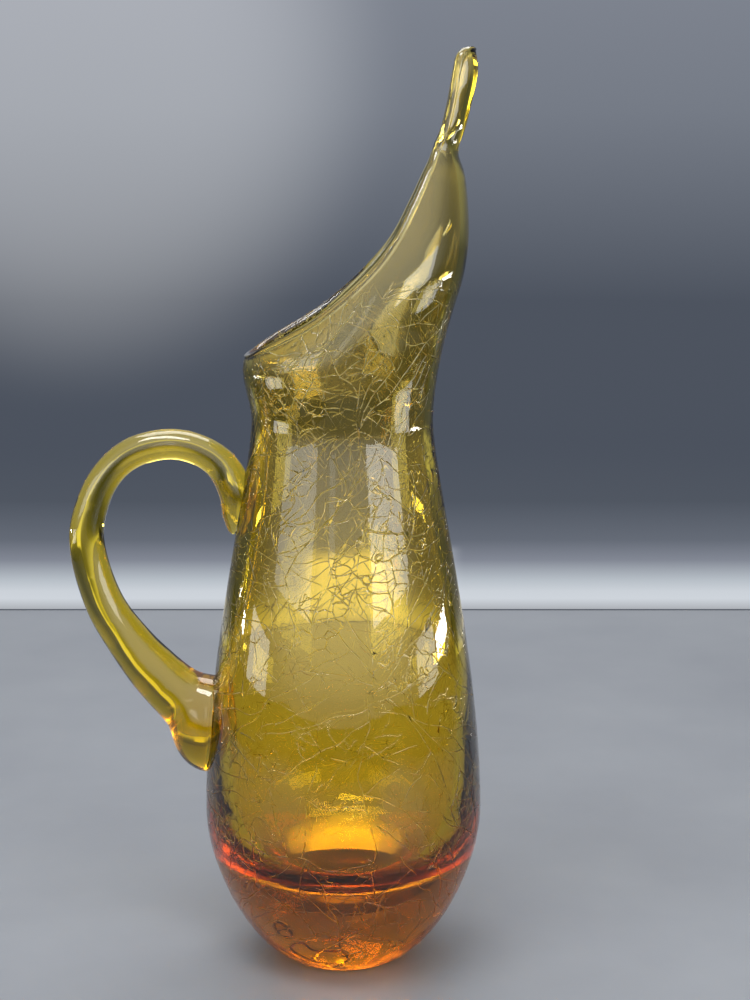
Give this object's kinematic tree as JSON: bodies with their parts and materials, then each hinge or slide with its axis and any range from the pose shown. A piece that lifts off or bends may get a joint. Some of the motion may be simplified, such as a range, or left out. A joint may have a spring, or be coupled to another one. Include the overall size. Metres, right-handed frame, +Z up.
{
  "type": "pitcher",
  "caption": "Tall amber crackle-glass pitcher: thick-based belly, slim neck, lip drawn up into a long pinched tongue, and a solid loop handle fused on.",
  "frame": {"origin": "centre of the flat foot, on the body's axis", "axes": "+Z up along the body's axis, +X towards the pouring lip, -X towards the handle"},
  "size_m": [0.1714, 0.1164, 0.3798],
  "materials": {
    "crackle_glass": "golden amber blown glass, crackled all through the body wall",
    "clear_amber_glass": "smooth fire-polished golden amber glass, solid"
  },
  "bodies": {
    "root": {"blown_vessel": "crackle_glass", "applied_handle": "clear_amber_glass"}
  },
  "joints": []
}
